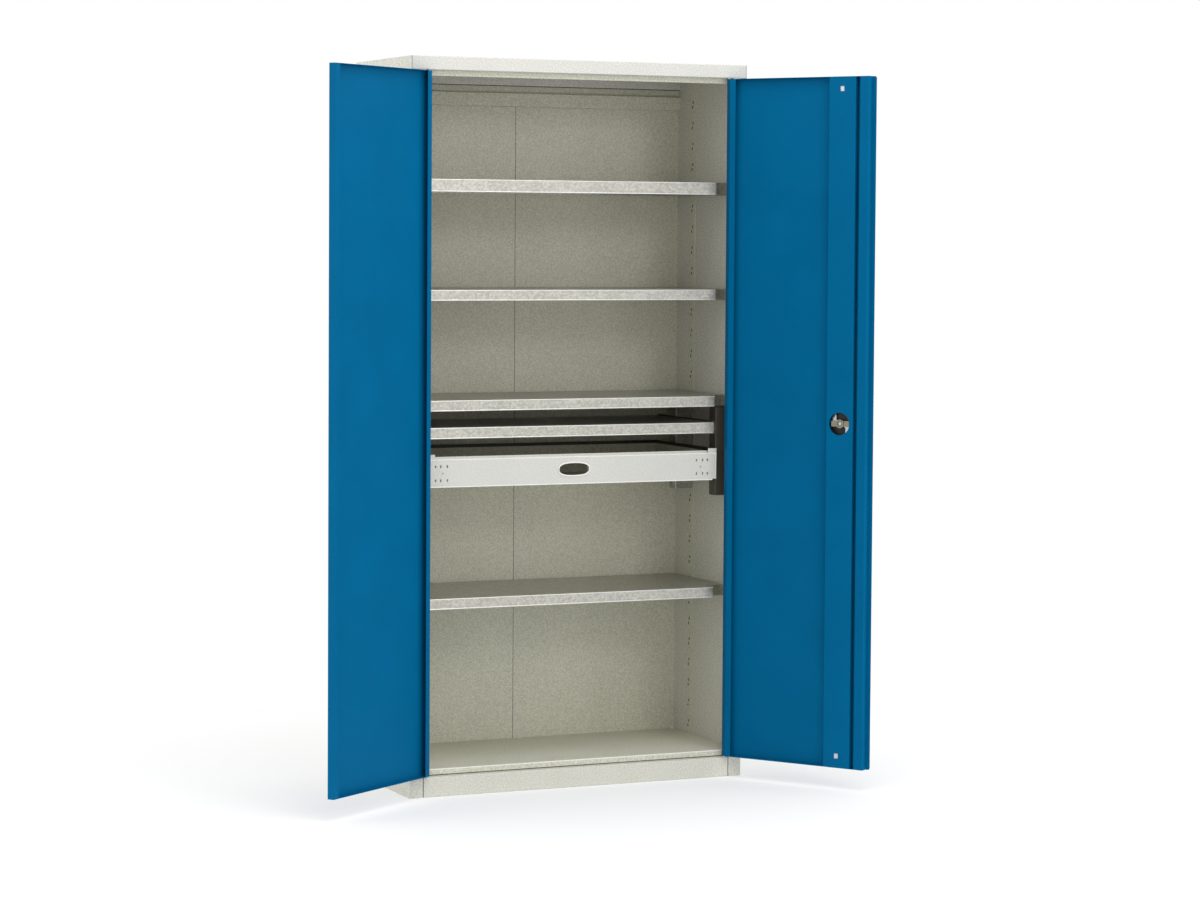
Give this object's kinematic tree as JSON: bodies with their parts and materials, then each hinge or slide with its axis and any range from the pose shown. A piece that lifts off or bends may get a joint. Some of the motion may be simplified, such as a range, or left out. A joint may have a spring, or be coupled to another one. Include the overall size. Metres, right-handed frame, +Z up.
{
  "type": "storage cabinet",
  "caption": "Tall sheet-steel storage cabinet with inset hinged doors, adjustable shelves, a pull-out shelf and a drawer on telescopic slides.",
  "frame": {"origin": "middle of the carcass footprint, on the floor", "axes": "+Z up, +X to the right seen from the front, +Y to the back"},
  "size_m": [1.5274, 0.8093, 2],
  "materials": {
    "grey_powder_coat": "fine textured light grey powder coat",
    "blue_powder_coat": "satin blue powder coat",
    "galvanised_steel": "galvanised sheet with a fine spangle",
    "slide_steel": "dark zinc plated rail, oiled",
    "dark_bracket_coat": "dark grey coat",
    "black_edging": "matt black edging",
    "zinc_plated_steel": "bright zinc plate",
    "black_moulded_plastic": "black moulded plastic with a fine grain",
    "grey_nylon": "moulded grey nylon",
    "bright_pin_steel": "turned steel"
  },
  "bodies": {
    "carcass": {"left_side_panel": "grey_powder_coat", "right_side_panel": "grey_powder_coat", "top_panel": "grey_powder_coat", "top_stop_rail": "grey_powder_coat", "rear_top_rail": "grey_powder_coat", "back_panel_left": "grey_powder_coat", "back_panel_right": "grey_powder_coat", "front_plinth": "grey_powder_coat", "rear_plinth": "grey_powder_coat", "floor_panel": "grey_powder_coat", "floor_support": "galvanised_steel", "floor_screws": "zinc_plated_steel", "left_front_upright": "grey_powder_coat", "right_front_upright": "grey_powder_coat", "left_rear_upright": "grey_powder_coat", "right_rear_upright": "grey_powder_coat", "shelf_1": "grey_powder_coat", "shelf_2": "galvanised_steel", "shelf_3": "galvanised_steel", "shelf_4": "galvanised_steel", "shelf_1_clips": "zinc_plated_steel", "shelf_2_clips": "zinc_plated_steel", "shelf_3_clips": "zinc_plated_steel", "shelf_4_clips": "zinc_plated_steel", "left_front_slide_bracket": "dark_bracket_coat", "right_front_slide_bracket": "dark_bracket_coat", "left_rear_slide_bracket": "galvanised_steel", "right_rear_slide_bracket": "galvanised_steel", "left_tray_fixed_rail": "slide_steel", "right_tray_fixed_rail": "slide_steel", "left_drawer_fixed_rail": "slide_steel", "right_drawer_fixed_rail": "slide_steel", "left_pivot_pins": "bright_pin_steel", "right_pivot_pins": "bright_pin_steel"},
    "left_door": {"left_door_shell": "blue_powder_coat", "left_pivot_blocks": "grey_nylon"},
    "right_door": {"right_door_shell": "blue_powder_coat", "right_pivot_blocks": "grey_nylon", "right_door_cover_strip": "blue_powder_coat", "lock_band": "blue_powder_coat", "lock_plate": "black_moulded_plastic", "spindle_bush": "zinc_plated_steel", "rod_guides": "grey_nylon", "handle_escutcheon": "black_moulded_plastic"},
    "lock_handle": {"turn_handle": "black_moulded_plastic", "key_cylinder": "zinc_plated_steel", "lock_spindle": "zinc_plated_steel", "lock_cam": "zinc_plated_steel", "cam_screw": "zinc_plated_steel"},
    "upper_rod": {"upper_lock_rod": "zinc_plated_steel"},
    "lower_rod": {"lower_lock_rod": "zinc_plated_steel"},
    "tray": {"tray_panel": "galvanised_steel", "tray_inner_rails": "slide_steel"},
    "tray_middle": {"tray_middle_rails": "slide_steel"},
    "drawer": {"drawer_body": "grey_powder_coat", "drawer_front": "grey_powder_coat", "drawer_trim": "black_edging", "drawer_inner_rails": "slide_steel"},
    "drawer_middle": {"drawer_middle_rails": "slide_steel"}
  },
  "joints": [
    {"name": "left_door_hinge", "type": "hinge", "parent": "carcass", "child": "left_door", "pos_m": [-0.448, -0.2139, 1.01], "axis": [0, 0, -1], "range_deg": [-146, 4]},
    {"name": "right_door_hinge", "type": "hinge", "parent": "carcass", "child": "right_door", "pos_m": [0.448, -0.2139, 1.01], "axis": [0, 0, 1], "range_deg": [-124, 26]},
    {"name": "lock_turn", "type": "hinge", "parent": "right_door", "child": "lock_handle", "pos_m": [0.65453, -0.51366, 1.01], "axis": [0.829, 0.5592, 0], "range_deg": [0, 90]},
    {"name": "upper_rod_slide", "type": "slide", "parent": "right_door", "child": "upper_rod", "axis": [0, 0, 1], "range_m": [0, 0.02]},
    {"name": "lower_rod_slide", "type": "slide", "parent": "right_door", "child": "lower_rod", "axis": [0, 0, -1], "range_m": [0, 0.02]},
    {"name": "tray_slide", "type": "slide", "parent": "carcass", "child": "tray", "axis": [0, -1, 0], "range_m": [0, 0.36]},
    {"name": "tray_middle_slide", "type": "slide", "parent": "carcass", "child": "tray_middle", "axis": [0, -1, 0], "range_m": [0, 0.18]},
    {"name": "drawer_slide", "type": "slide", "parent": "carcass", "child": "drawer", "axis": [0, -1, 0], "range_m": [0, 0.36]},
    {"name": "drawer_middle_slide", "type": "slide", "parent": "carcass", "child": "drawer_middle", "axis": [0, -1, 0], "range_m": [0, 0.18]}
  ],
  "couplings": [
    {"joint": "upper_rod_slide", "follows": "lock_turn", "m_per_rad": 0.012732},
    {"joint": "lower_rod_slide", "follows": "lock_turn", "m_per_rad": 0.012732},
    {"joint": "tray_middle_slide", "follows": "tray_slide", "ratio": 0.5},
    {"joint": "drawer_middle_slide", "follows": "drawer_slide", "ratio": 0.5}
  ]
}
